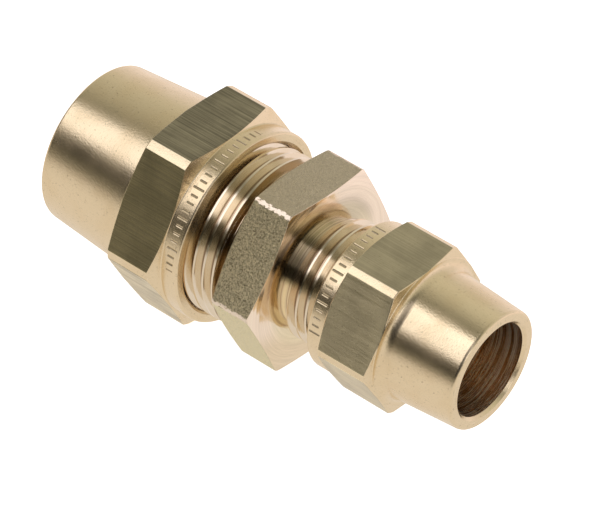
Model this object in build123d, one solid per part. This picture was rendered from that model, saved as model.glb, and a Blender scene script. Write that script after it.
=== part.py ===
from build123d import *
import os
from math import cos, radians, sin, tan

# Straight reducing compression coupling in brass, 22 mm tube to 15 mm tube, in millimetres.
# +X runs along the bore, from the 22 mm end to the 15 mm end, and +Z is normal to a flat of
# the body's hexagon. The origin is on the bore's axis, at the middle of that hexagon.
# A thread's phase is the place of one crest, taken in the half plane at CREST_ANGLE, which is
# measured about +X from +Y towards +Z. Both nuts are drawn hand-loose on their threads.

# Thread shared by both ends: 14 turns to the inch, right-handed, 55 degree flanks
PITCH = 25.4 / 14
FLANK = tan(radians(27.5))
THREAD_DEPTH = 1.162
CREST_WIDTH = 0.34
CREST_ANGLE = 135.4
RIDGE_START_ANGLE = 163
THREAD_GAP = 0.075
BURIED = 0.08

# Compression rings and the cones that squeeze them
CONE = tan(radians(30))
RING_LIP = 0.42
RING_GAP = 0.06
TURNS_TO_TIGHTEN = 1

# Body
BODY_FLATS = 29.0
BODY_CORNER_ROUND = 1.0
BODY_CORNER_RADIUS = 16.64
BODY_CORNER_HALF_WIDTH = 3.36
BODY_EDGE_ROUND = 0.35
THREAD_LEAD = 0.7
FACE_22 = -4.0
FACE_15 = 3.85
FACE_22_RADIUS = 14.3
FACE_15_RADIUS = 14.2
TUBE_STOP = 1.6
WATERWAY = 6.6


class End:
    """The driving dimensions of one end. Positions are distances from the origin along its side."""

    def __init__(self, side, **sizes):
        self.side = side
        self.__dict__.update(sizes)
        seat_rise = self.chamber - self.tube_bore
        self.seat_start = self.seat_end - seat_rise / CONE
        self.ring_lip = self.tube_bore + RING_LIP
        self.ring_back = self.seat_end - (RING_LIP + RING_GAP) / CONE
        self.ring_front = self.ring_back - self.ring_length
        self.travel = TURNS_TO_TIGHTEN * PITCH
        self.mouth_cone = self.body_mouth - self.tube_bore
        reach = (self.mouth_cone - RING_LIP - RING_GAP) / CONE
        self.body_end = self.ring_front - self.travel + reach
        self.root = self.thread_major - THREAD_DEPTH
        self.body_rim = self.root - 0.1
        self.relief = self.root - 0.15
        self.nut_crest = self.root + THREAD_GAP
        self.nut_groove = self.thread_major + THREAD_GAP


END_22 = End(
    side=-1,
    tube_bore=11.1,
    thread_major=13.8,
    crest_at=-7.75,
    body_mouth=12.05,
    body_face=-FACE_22,
    thread_start=5.0,
    ring_radius=12.35,
    ring_length=7.2,
    chamber=12.55,
    seat_end=26.9,
    nut_turn=4.03,
    nut_flats=32.0,
    nut_corner=18.04,
    nut_mouth=10.8,
    mouth_edge=14.4,
    collar=15.81,
    hex_near=14.68,
    hex_near_bulge=0.78,
    hex_far=22.4,
    hex_far_bulge=0.55,
    thread_stop=19.4,
    relief_end=20.6,
    sleeve_start=23.0,
    sleeve_near=14.36,
    sleeve_far=13.11,
    sleeve_blend=1.2,
    nut_end=40.45,
    overrun=1.3,
)

END_15 = End(
    side=1,
    tube_bore=7.6,
    thread_major=10.1,
    crest_at=7.05,
    body_mouth=8.5,
    body_face=FACE_15,
    thread_start=4.95,
    ring_radius=8.75,
    ring_length=6.2,
    chamber=8.95,
    seat_end=25.2,
    nut_turn=5.02,
    nut_flats=24.0,
    nut_corner=13.5,
    nut_mouth=10.85,
    mouth_edge=10.75,
    collar=12.0,
    hex_near=14.35,
    hex_near_bulge=0.6,
    hex_far=22.86,
    hex_far_bulge=0.35,
    thread_stop=18.4,
    relief_end=19.4,
    sleeve_start=23.3,
    sleeve_near=10.5,
    sleeve_far=9.62,
    sleeve_blend=1.45,
    nut_end=35.64,
    overrun=0.9,
)

LIP_ROUND = 0.4
SLEEVE_END_ROUND = 0.55
BORE_CHAMFER = 0.45
COLLAR_FILLET = 0.2
EDGE_BREAK = 0.2
BODY_BACK_BREAK = 0.4
BODY_FRONT_BREAK = 0.1


def turned(corners):
    """A ring turned about X from corners of (x, radius, rounding), listed around the outline."""
    points = [(x, r) for x, r, _ in corners]
    line = FilletPolyline(*points, radius=[rounding for _, _, rounding in corners], close=True)
    return revolve(make_face(line), Axis.X)


def hexagon_bar(flats, low, high, turn=0.0, corner_round=0.0):
    """A hexagonal bar along X with two flats facing +Z and -Z, then turned about X."""
    flat_shape = RegularPolygon(flats / 2, 6, major_radius=False)
    if corner_round:
        flat_shape = fillet(flat_shape.vertices(), corner_round)
    bar = extrude(Plane(origin=(low, 0, 0), x_dir=(0, 1, 0), z_dir=(1, 0, 0)) * flat_shape, high - low)
    # RegularPolygon starts with a corner on its own x axis, which leaves flats on +Z and -Z.
    return Rot(turn, 0, 0) * bar


def rounded_rim(hexagon, low, high, inner, rounding):
    """Round the rim where a hexagon's flats and corners run into a cone between low and high."""
    rim = [
        edge
        for edge in hexagon.edges()
        if low < edge.bounding_box().min.X
        and edge.bounding_box().max.X < high
        and Vector(0, edge.center().Y, edge.center().Z).length > inner
    ]
    return fillet(rim, rounding)


def helical_ridge(root, crest, low, high, crest_at, widen=0.0):
    """A right-handed thread ridge about X that covers low to high, with its root buried."""
    inner = root - BURIED
    half_crest = CREST_WIDTH / 2 + widen
    half_root = half_crest + (crest - inner) * FLANK
    start = crest_at - PITCH * (CREST_ANGLE - RIDGE_START_ANGLE) / 360
    start -= (int((start - low) / PITCH) + 2) * PITCH
    length = (int((high - start) / PITCH) + 1.5) * PITCH
    outline = Polyline(
        (inner, -half_root),
        (crest, -half_crest),
        (crest, half_crest),
        (inner, half_root),
        close=True,
    )
    ridge = sweep(Plane.XZ * make_face(outline), path=Helix(PITCH, length, inner), is_frenet=True)
    facing = (0, cos(radians(RIDGE_START_ANGLE)), sin(radians(RIDGE_START_ANGLE)))
    return Plane(origin=(start, 0, 0), x_dir=facing, z_dir=(1, 0, 0)) * ridge


def threaded_bar(end, root, crest, near, far, widen=0.0):
    """A bar threaded from near to far on one side, running past both of them to be trimmed."""
    low, high = sorted((end.side * (near - end.overrun), end.side * (far + end.overrun)))
    return cylinder(root, low, high) + helical_ridge(root, crest, low, high, end.crest_at, widen)


def mirrored(end, corners):
    """Corners of one end, given as distances from the origin, in the part's own X."""
    return [(end.side * x, r, rounding) for x, r, rounding in corners]


def spigot(end):
    """The solid threaded spigot of one end, from inside the hexagon to its chamfered rim."""
    clear = end.thread_major + 0.3
    envelope = turned(
        mirrored(
            end,
            [
                (end.thread_start, 0, 0),
                (end.thread_start, end.relief - 0.05, 0),
                (end.thread_start + THREAD_LEAD, clear, 0),
                (end.body_end - (clear - end.body_rim), clear, 0),
                (end.body_end, end.body_rim, 0),
                (end.body_end, 0, 0),
            ],
        )
    )
    threaded = threaded_bar(end, end.root, end.thread_major, end.thread_start, end.body_end) & envelope
    low, high = sorted((0.5 * end.side * end.body_face, end.side * (end.thread_start + 0.5)))
    return threaded + cylinder(end.relief, low, high)


def socket(end):
    """What is cut out of one spigot: mouth cone and tube socket down to its stop."""
    return turned(
        mirrored(
            end,
            [
                (TUBE_STOP, 0, 0),
                (TUBE_STOP, end.tube_bore, 0),
                (end.body_end - end.mouth_cone / CONE, end.tube_bore, 0),
                (end.body_end + 1, end.body_mouth + CONE, 0),
                (end.body_end + 1, 0, 0),
            ],
        )
    )


def coupling_body():
    """Forged hexagon with a threaded, socketed spigot on each side."""
    blank = turned(
        [
            (FACE_22, 0, 0),
            (FACE_22, FACE_22_RADIUS, 0),
            (-BODY_CORNER_HALF_WIDTH, BODY_CORNER_RADIUS, BODY_EDGE_ROUND),
            (BODY_CORNER_HALF_WIDTH, BODY_CORNER_RADIUS, BODY_EDGE_ROUND),
            (FACE_15, FACE_15_RADIUS, 0),
            (FACE_15, 0, 0),
        ]
    )
    body = blank & hexagon_bar(BODY_FLATS, FACE_22 - 1, FACE_15 + 1, corner_round=BODY_CORNER_ROUND)
    body = rounded_rim(body, FACE_22 - 0.1, FACE_22 + 1, FACE_22_RADIUS + 0.1, BODY_BACK_BREAK)
    body = rounded_rim(body, FACE_15 - 1, FACE_15 + 0.1, FACE_15_RADIUS + 0.1, BODY_FRONT_BREAK)
    for end in (END_22, END_15):
        body += spigot(end)
    for end in (END_22, END_15):
        body -= socket(end)
    return body - cylinder(WATERWAY, -TUBE_STOP - 1, TUBE_STOP + 1)


def cylinder(radius, low, high):
    """A plain cylinder about X from low to high."""
    return Plane(origin=(low, 0, 0), z_dir=(1, 0, 0)) * Cylinder(
        radius, high - low, align=(Align.CENTER, Align.CENTER, Align.MIN)
    )


def nut_outside(end):
    """The nut's outer shape: collar, hexagon with turned corners, and tapered sleeve."""
    half = end.nut_flats / 2
    near = end.hex_near - end.hex_near_bulge * (end.nut_corner - end.collar) / (end.nut_corner - half)
    far = end.hex_far + end.hex_far_bulge
    blank = turned(
        mirrored(
            end,
            [
                (end.nut_mouth, 0, 0),
                (end.nut_mouth, end.collar, LIP_ROUND),
                (near, end.collar, COLLAR_FILLET),
                (end.hex_near, end.nut_corner, 0),
                (end.hex_far, end.nut_corner, 0),
                (far, half, 0),
                (end.sleeve_start, half - 0.05, 0),
                (end.sleeve_start, end.sleeve_near, end.sleeve_blend),
                (end.nut_end, end.sleeve_far, SLEEVE_END_ROUND),
                (end.nut_end, 0, 0),
            ],
        )
    )
    low, high = sorted((end.side * (end.nut_mouth - 1), end.side * (end.nut_end + 1)))
    outside = blank & hexagon_bar(end.nut_flats, low, high, end.nut_turn)
    low, high = sorted((end.side * (end.hex_far - 0.02), end.side * (far + 0.02)))
    return rounded_rim(outside, low, high, half - 0.2, EDGE_BREAK)


def nut_hollow(end):
    """What is turned out of the nut: countersink, relief, ring chamber, seat cone and bore."""
    bore = end.nut_crest - 0.3
    relief = end.nut_groove + 0.1
    return turned(
        mirrored(
            end,
            [
                (end.nut_mouth - 1, 0, 0),
                (end.nut_mouth - 1, end.mouth_edge, 0),
                (end.nut_mouth, end.mouth_edge, 0),
                (end.nut_mouth + end.mouth_edge - bore, bore, 0),
                (end.thread_stop, bore, 0),
                (end.thread_stop + 0.15, relief, 0),
                (end.relief_end, relief, 0.3),
                (end.relief_end + relief - end.chamber, end.chamber, 0.3),
                (end.seat_start, end.chamber, 0),
                (end.seat_end, end.tube_bore, 0),
                (end.nut_end - BORE_CHAMFER, end.tube_bore, 0),
                (end.nut_end + 1, end.tube_bore + BORE_CHAMFER + 1, 0),
                (end.nut_end + 1, 0, 0),
            ],
        )
    )


def nut(end):
    """A compression nut: hexagon, marking collar and long tapered sleeve, threaded inside."""
    near = end.nut_mouth
    far = end.thread_stop + 0.6
    widen = THREAD_GAP / cos(radians(27.5))
    low, high = sorted((end.side * (near - 0.5), end.side * far))
    tap = threaded_bar(end, end.nut_crest, end.nut_groove, near, far, widen)
    tap &= cylinder(end.nut_groove + 0.3, low, high)
    return nut_outside(end) - nut_hollow(end) - tap


def ring(end):
    """A barrel-shaped compression ring, the same at both ends, loose on the tube."""
    slope = (end.ring_radius - end.ring_lip) / CONE
    return turned(
        mirrored(
            end,
            [
                (end.ring_front, end.tube_bore, 0.1),
                (end.ring_front, end.ring_lip, 0.1),
                (end.ring_front + slope, end.ring_radius, 0.8),
                (end.ring_back - slope, end.ring_radius, 0.8),
                (end.ring_back, end.ring_lip, 0.1),
                (end.ring_back, end.tube_bore, 0.1),
            ],
        )
    )


os.makedirs("parts", exist_ok=True)
export_step(coupling_body(), "parts/coupling_body.step")
export_step(nut(END_22), "parts/nut_22.step")
export_step(nut(END_15), "parts/nut_15.step")
export_step(ring(END_22), "parts/compression_ring_22.step")
export_step(ring(END_15), "parts/compression_ring_15.step")
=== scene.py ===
"""Looks of a brass reducing compression coupling: materials, soft studio light and the camera.

The coupling's bore lies along X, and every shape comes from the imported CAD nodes, in metres.
"""

import math

import bpy
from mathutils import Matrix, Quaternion, Vector


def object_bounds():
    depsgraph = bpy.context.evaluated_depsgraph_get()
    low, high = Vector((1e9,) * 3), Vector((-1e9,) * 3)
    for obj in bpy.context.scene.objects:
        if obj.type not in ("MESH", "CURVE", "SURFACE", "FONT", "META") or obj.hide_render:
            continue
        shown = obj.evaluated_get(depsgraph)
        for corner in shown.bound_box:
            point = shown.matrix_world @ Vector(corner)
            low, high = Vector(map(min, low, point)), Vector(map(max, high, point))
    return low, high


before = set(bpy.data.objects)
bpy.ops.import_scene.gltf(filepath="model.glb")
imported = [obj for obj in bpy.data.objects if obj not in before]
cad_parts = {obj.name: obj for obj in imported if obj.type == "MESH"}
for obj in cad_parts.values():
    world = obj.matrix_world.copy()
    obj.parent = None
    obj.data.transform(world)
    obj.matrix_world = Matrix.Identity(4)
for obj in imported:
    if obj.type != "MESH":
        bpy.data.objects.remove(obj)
cad_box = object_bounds()

MM = 0.001

# Camera: where it looks, from which side, and how far away
CAMERA_TARGET = Vector((-1.24, 0.98, 0.12)) * MM
CAMERA_AZIMUTH = 36.67
CAMERA_ELEVATION = 38.28
CAMERA_ROLL = 5.42
CAMERA_DISTANCE = 582.3 * MM
CAMERA_LENS = 236.5

# Hexagons: half the width across flats, and the turn about X from a flat that faces +Z, in degrees
BODY_HEX = (14.5, 0.0)
NUT_22_HEX = (16.0, 4.03)
NUT_15_HEX = (12.0, 5.02)

# How far from the origin the nuts' threads reach, and the root radius of each of the body's threads
THREAD_REACH = 20.8
ROOT_22 = 12.64
ROOT_15 = 8.94

# Along X from the body's middle: just past the hexagon's faces, where the painted shade lines on the
# undercut may begin, just past the undercut's own end, and where the painted shade at the thread's
# roots begins
FACE_END = 4.1
LINES_FROM = 4.3
UNDERCUT_END = 5.5
THREAD_START = 5.6
LINES_HALF_PITCH = 0.45

# Distances from the bore where wear on the body's corners begins and is full, and how far the worn
# strip is turned from the corner, in degrees
WORN_FROM = 16.46
WORN_FULLY = 16.53
WORN_TURN = 6

# The nuts' collars: where they end, their middle, and the row of plain tick marks pressed into them.
# The row is centred on TICKS_FACE and spans TICKS_SPAN, in degrees about X from +Y
COLLAR_END = 13.76
COLLAR_MIDDLE = 12.3
TICK_WIDTH = 0.24
TICK_PITCH = 1.25
TICKS_FACE = 130
TICKS_SPAN = 100

# Where the brown inside each nut's bore stops, just short of the mouth's rim
BORE_END_22 = 39.95
BORE_END_15 = 35.15

# Brass, in linear light
BRASS = (0.816, 0.696, 0.488)
BRASS_DEEP = (0.735, 0.576, 0.341)
BRASS_MACHINED = (0.826, 0.748, 0.612)
BRASS_WORN = (0.98, 0.86, 0.73)
BRASS_STRIP = (0.84, 0.74, 0.62)
# Painted shade for the lower part of the hexagon's clean face
BRASS_FACE_LOW_SHADE = (0.84, 0.72, 0.53)
# Painted reflection of the thread in the hexagon's clean face
BRASS_FACE_REFLECTION = (0.86, 0.79, 0.56)
BRASS_BACK = (0.40, 0.31, 0.19)
BRASS_RING = (0.816, 0.63, 0.33)
BRASS_FLAT = (0.60, 0.54, 0.38)
# Painted light for the body's lower front flats
BRASS_PAINTED_LIGHT = (0.74, 0.68, 0.43)
# The next three are painted shade for the nuts' upper flats and for front flats, and painted light for
# the small nut's front flats
BRASS_TOP_SHADE = (0.24, 0.222, 0.16)
BRASS_FRONT_SHADE = (0.42, 0.37, 0.21)
BRASS_FRONT_LIGHT = (0.82, 0.74, 0.50)
TARNISH = (0.306, 0.261, 0.171)
# Painted shade in the thread roots and in the undercut's lines
GROOVE_SHADE = (0.30, 0.20, 0.12)
BORE_BROWN = (0.72, 0.47, 0.26)
BORE_LINE = (1.0, 0.95, 0.85)

# The studio's light is a little warm all round, and weaker from the photographer's side
WARMTH = (0.98, 0.92, 0.82)
PHOTOGRAPHER_SIDE = (0.469, -0.63, 0.62)


class Shader:
    """A small helper that adds nodes to one material or world and links them."""

    def __init__(self, tree):
        self.tree = tree
        tree.nodes.clear()

    def add(self, kind, **settings):
        node = self.tree.nodes.new(kind)
        for name, value in settings.items():
            setattr(node, name, value)
        return node

    def feed(self, socket, value):
        if isinstance(value, bpy.types.NodeSocket):
            self.tree.links.new(value, socket)
        else:
            socket.default_value = value

    def math(self, operation, a, b=0.0, c=0.0, clamp=False):
        node = self.add("ShaderNodeMath", operation=operation, use_clamp=clamp)
        for socket, value in zip(node.inputs, (a, b, c)):
            self.feed(socket, value)
        return node.outputs[0]

    def ramp_to(self, value, low, high, start=0.0, end=1.0):
        """value mapped smoothly from low..high to start..end."""
        node = self.add("ShaderNodeMapRange", interpolation_type="SMOOTHSTEP")
        for socket, given in zip(node.inputs, (value, low, high, start, end)):
            self.feed(socket, given)
        return node.outputs[0]

    def vector(self, x, y, z):
        node = self.add("ShaderNodeCombineXYZ")
        for socket, value in zip(node.inputs, (x, y, z)):
            self.feed(socket, value)
        return node.outputs[0]

    def towards(self, y, z, angle):
        """How far (y, z) reaches in the direction that lies at angle from +Y."""
        across = self.math("MULTIPLY", y, math.cos(angle))
        return self.math("ADD", across, self.math("MULTIPLY", z, math.sin(angle)))

    def noise(self, vector, scale, detail=2.0, roughness=0.5):
        node = self.add("ShaderNodeTexNoise")
        self.feed(node.inputs["Vector"], vector)
        node.inputs["Scale"].default_value = scale
        node.inputs["Detail"].default_value = detail
        node.inputs["Roughness"].default_value = roughness
        return node.outputs["Fac"]

    def blend(self, share, a, b):
        node = self.add("ShaderNodeMix", data_type="RGBA")
        self.feed(node.inputs["Factor"], share)
        self.feed(node.inputs[6], a if isinstance(a, bpy.types.NodeSocket) else (*a, 1))
        self.feed(node.inputs[7], b if isinstance(b, bpy.types.NodeSocket) else (*b, 1))
        return node.outputs[2]

    def shade(self, colour, amount):
        """A colour made lighter or darker, where 1 leaves it alone."""
        node = self.add("ShaderNodeVectorMath", operation="SCALE")
        self.feed(node.inputs[0], colour)
        self.feed(node.inputs["Scale"], amount)
        return node.outputs[0]

    def between(self, share, a, b):
        """The number a where share is 0, and b where it is 1."""
        node = self.add("ShaderNodeMix", data_type="FLOAT")
        for socket, value in zip(node.inputs[0:1] + node.inputs[2:4], (share, a, b)):
            self.feed(socket, value)
        return node.outputs[0]

    def bump(self, height, distance, strength=1.0, normal=None):
        node = self.add("ShaderNodeBump")
        node.inputs["Strength"].default_value = strength
        node.inputs["Distance"].default_value = distance
        self.feed(node.inputs["Height"], height)
        if normal is not None:
            self.feed(node.inputs["Normal"], normal)
        return node.outputs[0]


def lathe_coordinates(sh):
    """Place on the part in millimetres: x along the bore, y, z, and the distance from the bore."""
    place = sh.add("ShaderNodeTexCoord").outputs["Object"]
    parts = sh.add("ShaderNodeSeparateXYZ")
    sh.feed(parts.inputs[0], place)
    x, y, z = (sh.math("MULTIPLY", out, 1 / MM) for out in parts.outputs)
    r = sh.math("SQRT", sh.math("ADD", sh.math("MULTIPLY", y, y), sh.math("MULTIPLY", z, z)))
    return x, y, z, r


def on_flats(sh, x, y, z, hexagon, collar_end):
    """1 on the flats of a hexagon about X, and 0 on everything turned, as the collar is."""
    half, turn = hexagon
    reach = 0.0
    for step in range(3):
        angle = math.radians(90 + turn + 60 * step)
        reach = sh.math("MAXIMUM", reach, sh.math("ABSOLUTE", sh.towards(y, z, angle)))
    beyond = sh.math("GREATER_THAN", sh.math("ABSOLUTE", x), collar_end)
    return sh.math("MULTIPLY", beyond, sh.ramp_to(reach, half - 0.06, half - 0.02))


def facing(sh, degrees):
    """1 on surfaces that face one direction, given in degrees about X from +Y, and 0 on the others."""
    angle = math.radians(degrees)
    parts = sh.add("ShaderNodeSeparateXYZ")
    sh.feed(parts.inputs[0], sh.add("ShaderNodeTexCoord").outputs["Normal"])
    y, z = parts.outputs[1:]
    return sh.ramp_to(sh.towards(y, z, angle), 0.7, 0.85)


def tick_marks(sh, x, y, z, r, collar):
    """1 inside a row of plain pressed strokes along part of a nut's collar."""
    angle = sh.math("ARCTAN2", z, y)
    around = sh.math("SUBTRACT", angle, math.radians(TICKS_FACE))
    step = sh.math("MULTIPLY", around, collar / TICK_PITCH)
    number = sh.math("ROUND", step)
    across = sh.math("MULTIPLY", sh.math("ABSOLUTE", sh.math("SUBTRACT", step, number)), TICK_PITCH)
    stroke = sh.ramp_to(across, TICK_WIDTH / 2 + 0.1, TICK_WIDTH / 2 - 0.1)
    # Every fourth stroke is a long one
    fourth = sh.math("LESS_THAN", sh.math("PINGPONG", number, 2.0), 0.5)
    tall = sh.between(fourth, 0.6, 0.95)
    off_middle = sh.math("ABSOLUTE", sh.math("SUBTRACT", sh.math("ABSOLUTE", x), COLLAR_MIDDLE))
    stroke = sh.math("MULTIPLY", stroke, sh.ramp_to(sh.math("SUBTRACT", off_middle, tall), 0.08, -0.08))
    in_row = sh.math("LESS_THAN", sh.math("ABSOLUTE", around), math.radians(TICKS_SPAN / 2))
    on_collar = sh.math("GREATER_THAN", r, collar - 0.1)
    return sh.math("MULTIPLY", stroke, sh.math("MULTIPLY", in_row, on_collar))


def turned_grain(sh, x, y, z, r, fineness):
    """Fine rings left by a turning tool, which vary slowly around the part."""
    around = sh.math("DIVIDE", y, sh.math("MAXIMUM", r, 0.5))
    where = sh.vector(x, r, sh.math("MULTIPLY", around, 0.12))
    return sh.noise(where, fineness, 3.0, 0.6)


def drawn_grain(sh, x, y, z, fineness):
    """Fine straight streaks along X, as a drawn bar has."""
    broad = sh.noise(sh.vector(sh.math("MULTIPLY", x, 0.02), y, z), fineness, 1.0, 0.5)
    fine = sh.noise(sh.vector(sh.math("MULTIPLY", x, 0.004), y, z), 2.6 * fineness, 1.0, 0.5)
    return sh.math("MULTIPLY", sh.math("ADD", broad, fine), 0.5)


def brass_surface(name, base, build):
    """A metal material whose colour, roughness and normal build() makes from the part's own shape."""
    material = bpy.data.materials.new(name)
    material.use_nodes = True
    sh = Shader(material.node_tree)
    shader = sh.add("ShaderNodeBsdfPrincipled")
    shader.inputs["Metallic"].default_value = 1.0
    output = sh.add("ShaderNodeOutputMaterial")
    sh.tree.links.new(shader.outputs[0], output.inputs[0])
    colour, roughness, normal = build(sh, base)
    sh.feed(shader.inputs["Base Color"], colour)
    sh.feed(shader.inputs["Roughness"], roughness)
    sh.feed(shader.inputs["Normal"], normal)
    return material


def nut_look(hexagon, collar, inner_radii, bore_end, top_shade, side, drawn):
    """A nut's looks. inner_radii hold for the threaded part and for the bore beyond it, dull is how far
    its upper flats are painted darker, a painted shade, side is the brass of its front flats, painted
    shade on one nut and painted light on the other, and drawn how strong their streaks are."""

    def build(sh, base):
        x, y, z, r = lathe_coordinates(sh)
        place = sh.vector(x, y, z)
        flats = on_flats(sh, x, y, z, hexagon, COLLAR_END)
        deep = sh.math("GREATER_THAN", sh.math("ABSOLUTE", x), THREAD_REACH)
        inside = sh.math("LESS_THAN", r, sh.between(deep, *inner_radii))
        inside = sh.math("MULTIPLY", inside, sh.math("LESS_THAN", sh.math("ABSOLUTE", x), bore_end))
        marks = tick_marks(sh, x, y, z, r, collar)
        rings = turned_grain(sh, x, y, z, r, 9.0)
        lines = sh.noise(sh.vector(x, sh.math("MULTIPLY", y, 0.03), 0.0), 2.8, 4.0, 0.85)
        streaks = drawn_grain(sh, x, y, z, 4.4)
        smudge = sh.noise(place, 0.16, 3.0, 0.55)
        speck = sh.noise(place, 2.6, 4.0, 0.7)
        grain = sh.noise(place, 3.0, 2.0, 0.6)
        colour = sh.blend(sh.ramp_to(smudge, 0.4, 0.7, 0.0, 0.3), base, BRASS_DEEP)
        # The flats on top are painted darker, a painted shade, and the front flats get a painted tone
        # of their own, painted shade on one nut and painted light on the other
        flat_colour = sh.blend(sh.math("MULTIPLY", facing(sh, 80), top_shade), BRASS_FLAT, BRASS_TOP_SHADE)
        flat_colour = sh.blend(facing(sh, 168), flat_colour, side)
        flat_colour = sh.shade(flat_colour, sh.ramp_to(streaks, 0.38, 0.62, 1 + drawn, 1 - drawn))
        flat_colour = sh.shade(flat_colour, sh.ramp_to(smudge, 0.35, 0.65, 1.12, 0.88))
        colour = sh.blend(flats, colour, flat_colour)
        colour = sh.blend(sh.ramp_to(speck, 0.59, 0.7, 0.0, 0.6), colour, TARNISH)
        # A few fine scratches run around the turned surfaces
        drawn_out = sh.vector(sh.math("MULTIPLY", x, 4.0), sh.math("MULTIPLY", y, 0.5), z)
        scratch = sh.ramp_to(sh.noise(drawn_out, 0.8, 3.0, 0.7), 0.66, 0.72, 0.0, 0.35)
        scratch = sh.math("MULTIPLY", sh.math("SUBTRACT", 1.0, flats), scratch)
        colour = sh.blend(scratch, colour, BRASS_WORN)
        bore_colour = sh.blend(sh.ramp_to(lines, 0.44, 0.56), BORE_BROWN, BORE_LINE)
        colour = sh.blend(inside, colour, bore_colour)
        colour = sh.blend(sh.math("MULTIPLY", marks, 0.8), colour, TARNISH)
        turned_rough = sh.ramp_to(smudge, 0.3, 0.75, 0.21, 0.28)
        flat_rough = sh.ramp_to(streaks, 0.35, 0.65, 0.3, 0.42)
        roughness = sh.between(flats, turned_rough, flat_rough)
        roughness = sh.between(inside, roughness, sh.ramp_to(lines, 0.44, 0.56, 0.12, 0.32))
        height = sh.between(flats, rings, sh.math("MULTIPLY", streaks, 2.0))
        height = sh.math("ADD", height, sh.math("MULTIPLY", grain, 2.4))
        height = sh.between(inside, height, sh.math("MULTIPLY", lines, 8.0))
        normal = sh.bump(height, 0.01 * MM, 0.7)
        return colour, roughness, sh.bump(marks, -0.1 * MM, 0.8, normal)

    return build


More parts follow.
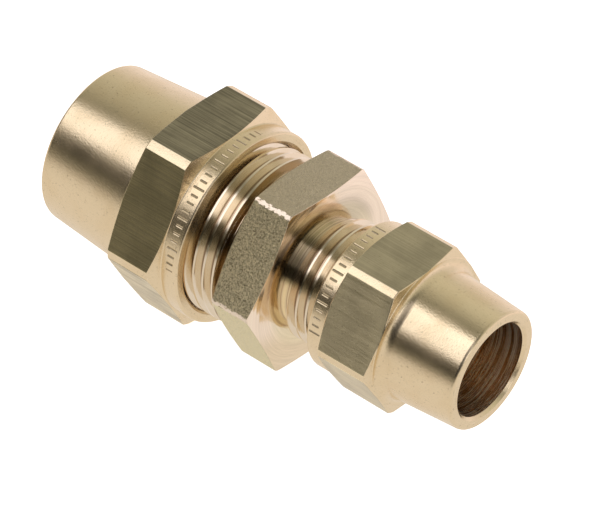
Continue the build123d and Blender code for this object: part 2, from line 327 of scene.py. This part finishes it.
def body_look(sh, base):
    x, y, z, r = lathe_coordinates(sh)
    flats = on_flats(sh, x, y, z, BODY_HEX, -1.0)
    place = sh.vector(x, y, z)
    from_middle = sh.math("ABSOLUTE", x)
    small_end = sh.math("GREATER_THAN", x, 0.0)
    # The undercut beside each face shows coarser tool marks than the thread does, and a few painted
    # dark lines, painted shade standing in for thread grooves
    undercut = sh.math("LESS_THAN", from_middle, UNDERCUT_END)
    tool_marks = sh.math("MULTIPLY", sh.noise(sh.vector(x, 0.0, 0.0), 3.2, 2.0, 0.6), 7.0)
    rings = sh.between(undercut, turned_grain(sh, x, y, z, r, 8.0), tool_marks)
    painted_groove_line = sh.math("PINGPONG", sh.math("ADD", from_middle, 0.1), LINES_HALF_PITCH)
    painted_groove_line = sh.ramp_to(painted_groove_line, 0.12, 0.02, 0.0, 0.55)
    painted_groove_line = sh.math("MULTIPLY", painted_groove_line, sh.math("GREATER_THAN", from_middle, LINES_FROM))
    grit = sh.noise(place, 3.6, 4.0, 0.8)
    pits = sh.noise(place, 2.1, 2.0, 0.6)
    patch = sh.noise(place, 0.22, 3.0, 0.5)
    # The corners of the forging are worn bright and flat along a ragged strip
    ragged = sh.math("ADD", r, sh.ramp_to(sh.noise(place, 1.5, 3.0, 0.7), 0.35, 0.65, -0.09, 0.035))
    worn = sh.ramp_to(ragged, WORN_FROM, WORN_FULLY)
    corner = sh.math("ROUND", sh.math("DIVIDE", sh.math("ARCTAN2", z, y), math.radians(60)))
    corner = sh.math("ADD", sh.math("MULTIPLY", corner, math.radians(60)), math.radians(WORN_TURN))
    worn_normal = sh.vector(0.0, sh.math("COSINE", corner), sh.math("SINE", corner))
    rough_skin = sh.math("MAXIMUM", flats, worn)
    colour = sh.blend(sh.ramp_to(patch, 0.4, 0.7, 0.0, 0.25), base, BRASS_DEEP)
    # The hexagon's face at the small end is clean, with rings left by facing it, and the other one is
    # tarnished
    near_face = sh.math("LESS_THAN", from_middle, FACE_END)
    around = sh.math("MULTIPLY", sh.math("DIVIDE", y, r), 0.6)
    faced = sh.noise(sh.vector(r, around, 0.0), 2.6, 3.0, 0.7)
    # Towards the bottom the clean face is painted darker, a painted shade
    clean = sh.blend(sh.ramp_to(z, -3.0, -9.0), BRASS_WORN, BRASS_FACE_LOW_SHADE)
    # Round the thread the clean face carries a painted reflection of the thread: it is painted
    # yellower, and above the thread also darker
    clean = sh.blend(sh.ramp_to(r, 12.6, 10.6, 0.0, 0.6), clean, BRASS_FACE_REFLECTION)
    above = sh.math("MULTIPLY", sh.ramp_to(r, 13.2, 11.6), sh.ramp_to(z, 2.0, 8.0))
    clean = sh.shade(clean, sh.between(above, 1.0, 0.76))
    clean = sh.shade(clean, sh.ramp_to(faced, 0.3, 0.7, 1.06, 0.93))
    colour = sh.blend(near_face, colour, sh.blend(small_end, BRASS_BACK, clean))
    # The threads are painted darker at their roots, a painted shade in the grooves
    root = sh.between(small_end, ROOT_22, ROOT_15)
    root_shade = sh.ramp_to(sh.math("SUBTRACT", r, root), 0.3, 0.05, 0.0, 0.6)
    threaded = sh.math("GREATER_THAN", from_middle, THREAD_START)
    colour = sh.blend(sh.math("MULTIPLY", root_shade, threaded), colour, GROOVE_SHADE)
    # Painted shade lines on the undercut, standing in for thread grooves
    colour = sh.blend(sh.math("MULTIPLY", undercut, painted_groove_line), colour, GROOVE_SHADE)
    # The front flats are painted darker, a painted shade, and the flats facing down in front are
    # painted lighter, a painted light
    front = facing(sh, 150)
    flat_colour = sh.blend(sh.math("MULTIPLY", front, 0.4), BRASS_FLAT, BRASS_FRONT_SHADE)
    flat_colour = sh.blend(facing(sh, 210), flat_colour, BRASS_PAINTED_LIGHT)
    coarse = sh.ramp_to(grit, 0.34, 0.66, 1.62, 0.5)
    coarse = sh.math("MULTIPLY", coarse, sh.ramp_to(pits, 0.58, 0.7, 1.0, 0.45))
    flat_colour = sh.shade(flat_colour, sh.between(front, sh.between(0.3, 1.0, coarse), coarse))
    colour = sh.blend(flats, colour, flat_colour)
    colour = sh.blend(worn, colour, BRASS_STRIP)
    smooth = sh.ramp_to(patch, 0.3, 0.7, 0.09, 0.15)
    roughness = sh.between(rough_skin, smooth, sh.ramp_to(grit, 0.3, 0.7, 0.26, 0.38))
    normal = sh.bump(sh.math("MULTIPLY", flats, grit), 0.3 * MM, 1.0)
    turned = sh.math("MULTIPLY", sh.math("SUBTRACT", 1.0, rough_skin), rings)
    normal = sh.bump(turned, 0.008 * MM, 0.8, normal)
    return colour, roughness, sh.blend(worn, normal, worn_normal)


def ring_look(sh, base):
    x, y, z, r = lathe_coordinates(sh)
    rings = turned_grain(sh, x, y, z, r, 10.0)
    patch = sh.noise(sh.vector(x, y, z), 0.3, 3.0, 0.5)
    colour = sh.blend(sh.ramp_to(patch, 0.35, 0.7, 0.0, 0.5), base, BRASS_DEEP)
    return colour, sh.ramp_to(rings, 0.3, 0.7, 0.16, 0.26), sh.bump(rings, 0.01 * MM, 0.8)


def dress(node, material):
    """Gives a CAD node its material in every slot."""
    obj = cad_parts[node]
    obj.data.materials.clear()
    obj.data.materials.append(material)
    for face in obj.data.polygons:
        face.material_index = 0


def studio_light():
    """Soft light from all round: a bright card above the front, and darker between card and floor."""
    world = bpy.data.worlds.new("studio")
    bpy.context.scene.world = world
    world.use_nodes = True
    sh = Shader(world.node_tree)
    parts = sh.add("ShaderNodeSeparateXYZ")
    sh.feed(parts.inputs[0], sh.add("ShaderNodeTexCoord").outputs["Generated"])
    angle = sh.math("ARCTAN2", parts.outputs[2], parts.outputs[1])
    degrees = sh.math("MULTIPLY", angle, 180 / math.pi)
    along = parts.outputs[0]
    # The card's lower edge slants: it comes down further towards the small end
    slant = sh.math("MULTIPLY", sh.math("MINIMUM", sh.math("ADD", along, 0.59), 0.3), 29.0)
    slant = sh.math("MULTIPLY", slant, sh.ramp_to(degrees, 112.0, 135.0))
    turn = sh.math("ADD", sh.math("DIVIDE", sh.math("SUBTRACT", degrees, slant), 360.0), 0.5)
    ramp = sh.add("ShaderNodeValToRGB")
    ramp.color_ramp.interpolation = "EASE"
    # Degrees about X from the back (+Y), over the top (90) to the front (180), and the light there
    stops = (
        (-90, (0.88, 0.86, 0.92)),
        (-8, (0.96, 0.90, 1.0)),
        (14, (0.86, 0.82, 0.86)),
        (35, (0.66, 0.65, 0.60)),
        (56, (0.55, 0.55, 0.50)),
        (76, (0.46, 0.46, 0.41)),
        (90, (0.27, 0.27, 0.23)),
        (101, (0.28, 0.28, 0.24)),
        (109, (1.5, 1.5, 1.68)),
        (138, (1.5, 1.5, 1.68)),
        (149, (0.12, 0.11, 0.09)),
        (164, (0.025, 0.022, 0.014)),
        (180, (0.12, 0.115, 0.09)),
    )
    elements = ramp.color_ramp.elements
    while len(elements) > 1:
        elements.remove(elements[-1])
    for index, (stop, light) in enumerate(stops):
        place = (stop + 180) / 360
        element = elements[0] if index == 0 else elements.new(place)
        element.position = place
        element.color = (*[level * warm for level, warm in zip(light, WARMTH)], 1)
    sh.feed(ramp.inputs[0], turn)
    # The room is darker towards the small end, in front of the part
    in_front = sh.ramp_to(parts.outputs[1], -0.3, -0.75)
    dim = sh.math("MULTIPLY", in_front, sh.ramp_to(along, -0.4, 0.15))
    # And it is darker on the photographer's side, a fixed direction in the room
    near_camera = 0.0
    for out, share in zip(parts.outputs, PHOTOGRAPHER_SIDE):
        near_camera = sh.math("ADD", near_camera, sh.math("MULTIPLY", out, share))
    level = sh.ramp_to(near_camera, 0.66, 0.9, 1.0, 0.34)
    # The card stops short of the large end, and is brighter towards the small end, as the back is
    front_top = sh.math("MULTIPLY", sh.ramp_to(degrees, 92.0, 104.0), sh.ramp_to(degrees, 186.0, 172.0))
    past_end = sh.math("MULTIPLY", front_top, sh.ramp_to(along, -0.68, -0.88))
    nearer_card = sh.math("MULTIPLY", front_top, sh.ramp_to(along, -0.5, -0.38))
    back_top = sh.math("MULTIPLY", sh.ramp_to(degrees, 30.0, 48.0), sh.ramp_to(degrees, 82.0, 64.0))
    nearer_back = sh.math("MULTIPLY", back_top, sh.ramp_to(along, -0.58, -0.45))
    for share, factor in ((past_end, 0.15), (nearer_back, 1.22), (nearer_card, 1.2)):
        level = sh.math("MULTIPLY", level, sh.between(share, 1.0, factor))
    lit = sh.add("ShaderNodeBackground")
    sh.feed(lit.inputs[0], ramp.outputs[0])
    sh.feed(lit.inputs[1], sh.math("MULTIPLY", level, sh.between(dim, 1.0, 0.25)))
    seen = sh.add("ShaderNodeBackground")
    seen.inputs[0].default_value = (1, 1, 1, 1)
    seen.inputs[1].default_value = 1.0
    mix = sh.add("ShaderNodeMixShader")
    sh.feed(mix.inputs[0], sh.add("ShaderNodeLightPath").outputs["Is Camera Ray"])
    sh.tree.links.new(lit.outputs[0], mix.inputs[1])
    sh.tree.links.new(seen.outputs[0], mix.inputs[2])
    out = sh.add("ShaderNodeOutputWorld")
    sh.tree.links.new(mix.outputs[0], out.inputs[0])


def pale_floor(height):
    """A plain white table that glows, as a light table does."""
    bpy.ops.mesh.primitive_plane_add(size=6.0, location=(0, 0, height))
    floor = bpy.context.object
    floor.name = "floor"
    material = bpy.data.materials.new("floor_white")
    material.use_nodes = True
    shader = material.node_tree.nodes["Principled BSDF"]
    shader.inputs["Base Color"].default_value = (0.85, 0.85, 0.85, 1)
    shader.inputs["Roughness"].default_value = 0.9
    shader.inputs["Specular IOR Level"].default_value = 0.1
    shader.inputs["Emission Color"].default_value = (1.0, 1.0, 1.05, 1)
    shader.inputs["Emission Strength"].default_value = 0.95
    floor.data.materials.append(material)


def reflected_mat(height):
    """A card on the table, seen only in the part's reflections, that dims in front of the part."""
    bpy.ops.mesh.primitive_plane_add(size=6.0, location=(0, 0, height + 0.0003))
    mat = bpy.context.object
    mat.name = "reflected_mat"
    material = bpy.data.materials.new("mat_grey")
    material.use_nodes = True
    sh = Shader(material.node_tree)
    parts = sh.add("ShaderNodeSeparateXYZ")
    sh.feed(parts.inputs[0], sh.add("ShaderNodeNewGeometry").outputs["Position"])
    y = parts.outputs[1]
    front = sh.blend(sh.ramp_to(y, -0.26, -0.03), (0.215, 0.193, 0.14), (0.823, 0.745, 0.672))
    glow = sh.add("ShaderNodeEmission")
    sh.feed(glow.inputs[0], sh.blend(sh.ramp_to(y, 0.0, 0.12), front, (1.03, 0.9, 0.86)))
    out = sh.add("ShaderNodeOutputMaterial")
    sh.tree.links.new(glow.outputs[0], out.inputs[0])
    mat.data.materials.append(material)
    mat.visible_camera = False
    mat.visible_diffuse = False
    mat.visible_shadow = False


def place_camera():
    """The camera looks at the coupling from above its small end, turned slightly about its own view."""
    azimuth, elevation = math.radians(CAMERA_AZIMUTH), math.radians(CAMERA_ELEVATION)
    back = Vector(
        (
            math.sin(azimuth) * math.cos(elevation),
            -math.cos(azimuth) * math.cos(elevation),
            math.sin(elevation),
        )
    )
    data = bpy.data.cameras.new("camera")
    data.lens = CAMERA_LENS
    data.sensor_width = 36.0
    data.clip_start = 0.01
    data.clip_end = 20.0
    camera = bpy.data.objects.new("camera", data)
    bpy.context.scene.collection.objects.link(camera)
    camera.rotation_mode = "QUATERNION"
    level = (-back).to_track_quat("-Z", "Y")
    camera.rotation_quaternion = Quaternion(back, math.radians(CAMERA_ROLL)) @ level
    camera.location = CAMERA_TARGET + back * CAMERA_DISTANCE
    bpy.context.scene.camera = camera


place_camera()
studio_light()
pale_floor(cad_box[0].z)
reflected_mat(cad_box[0].z)

dress("coupling_body", brass_surface("forged_brass", BRASS_MACHINED, body_look))
# Each nut's upper flats get painted shade, and its front flats painted shade on the large nut and
# painted light on the small one
nut_22_look = nut_look(
    NUT_22_HEX,
    collar=15.81,
    inner_radii=(13.95, 12.65),
    bore_end=BORE_END_22,
    top_shade=0.92,
    side=BRASS_FRONT_SHADE,
    drawn=0.27,
)
nut_15_look = nut_look(
    NUT_15_HEX,
    collar=12.0,
    inner_radii=(10.25, 9.05),
    bore_end=BORE_END_15,
    top_shade=0.45,
    side=BRASS_FRONT_LIGHT,
    drawn=0.07,
)
dress("nut_22", brass_surface("turned_brass_22", BRASS, nut_22_look))
dress("nut_15", brass_surface("turned_brass_15", BRASS, nut_15_look))
ring_material = brass_surface("ring_brass", BRASS_RING, ring_look)
for ring in ("compression_ring_22", "compression_ring_15"):
    dress(ring, ring_material)

bpy.context.scene.view_settings.view_transform = "Standard"
